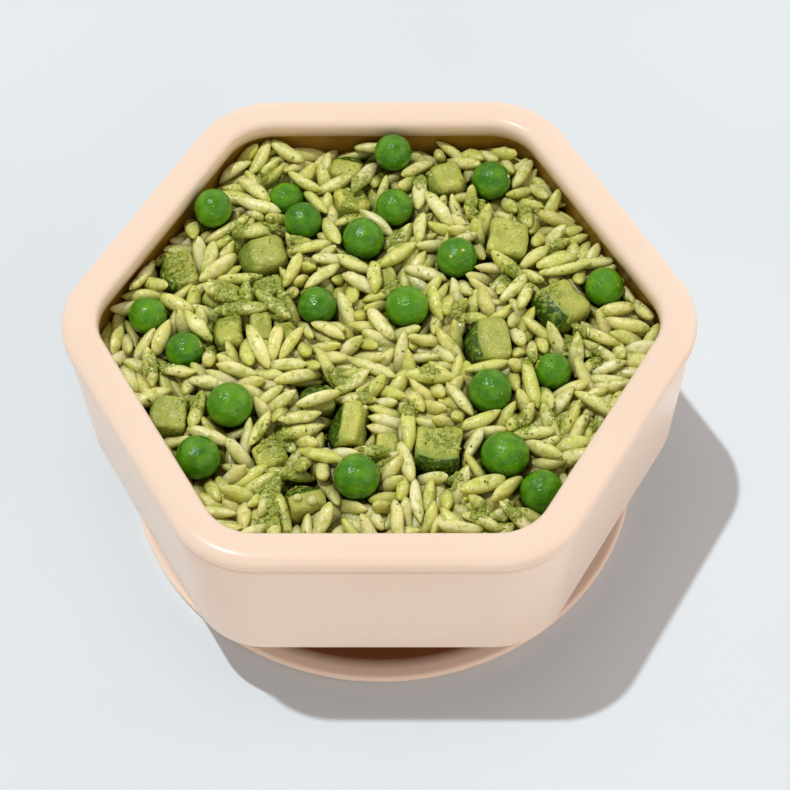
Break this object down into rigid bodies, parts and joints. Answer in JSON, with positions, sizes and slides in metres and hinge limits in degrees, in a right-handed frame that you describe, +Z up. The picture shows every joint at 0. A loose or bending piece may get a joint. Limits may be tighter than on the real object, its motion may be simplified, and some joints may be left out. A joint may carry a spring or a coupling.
{
  "type": "hexagonal suction bowl of pesto orzo",
  "caption": "Hexagonal silicone suction bowl on a round foot, filled almost to the rim with orzo in pesto, whole peas and diced courgette.",
  "frame": {"origin": "middle of the foot's underside, on the surface the bowl stands on", "axes": "+Z up, +X through two opposite corners of the hexagon, +Y through two opposite flat sides"},
  "size_m": [0.128, 0.1158, 0.0555],
  "materials": {
    "silicone": "satin",
    "orzo": "satin",
    "pea": "gloss",
    "courgette": "satin"
  },
  "bodies": {
    "root": {"bowl": "silicone", "orzo_heap": "orzo", "pea_01": "pea", "pea_02": "pea", "pea_03": "pea", "pea_04": "pea", "pea_05": "pea", "pea_06": "pea", "pea_07": "pea", "pea_08": "pea", "pea_09": "pea", "pea_10": "pea", "pea_11": "pea", "pea_12": "pea", "pea_13": "pea", "pea_14": "pea", "pea_15": "pea", "pea_16": "pea", "pea_17": "pea", "pea_18": "pea", "pea_19": "pea", "pea_20": "pea", "courgette_01": "courgette", "courgette_02": "courgette", "courgette_03": "courgette", "courgette_04": "courgette", "courgette_05": "courgette", "courgette_06": "courgette", "courgette_07": "courgette", "courgette_08": "courgette", "courgette_09": "courgette", "courgette_10": "courgette", "courgette_11": "courgette", "courgette_12": "courgette", "courgette_13": "courgette", "courgette_14": "courgette", "courgette_15": "courgette", "courgette_16": "courgette", "courgette_17": "courgette", "courgette_18": "courgette", "courgette_19": "courgette", "courgette_20": "courgette", "courgette_21": "courgette"}
  },
  "joints": []
}
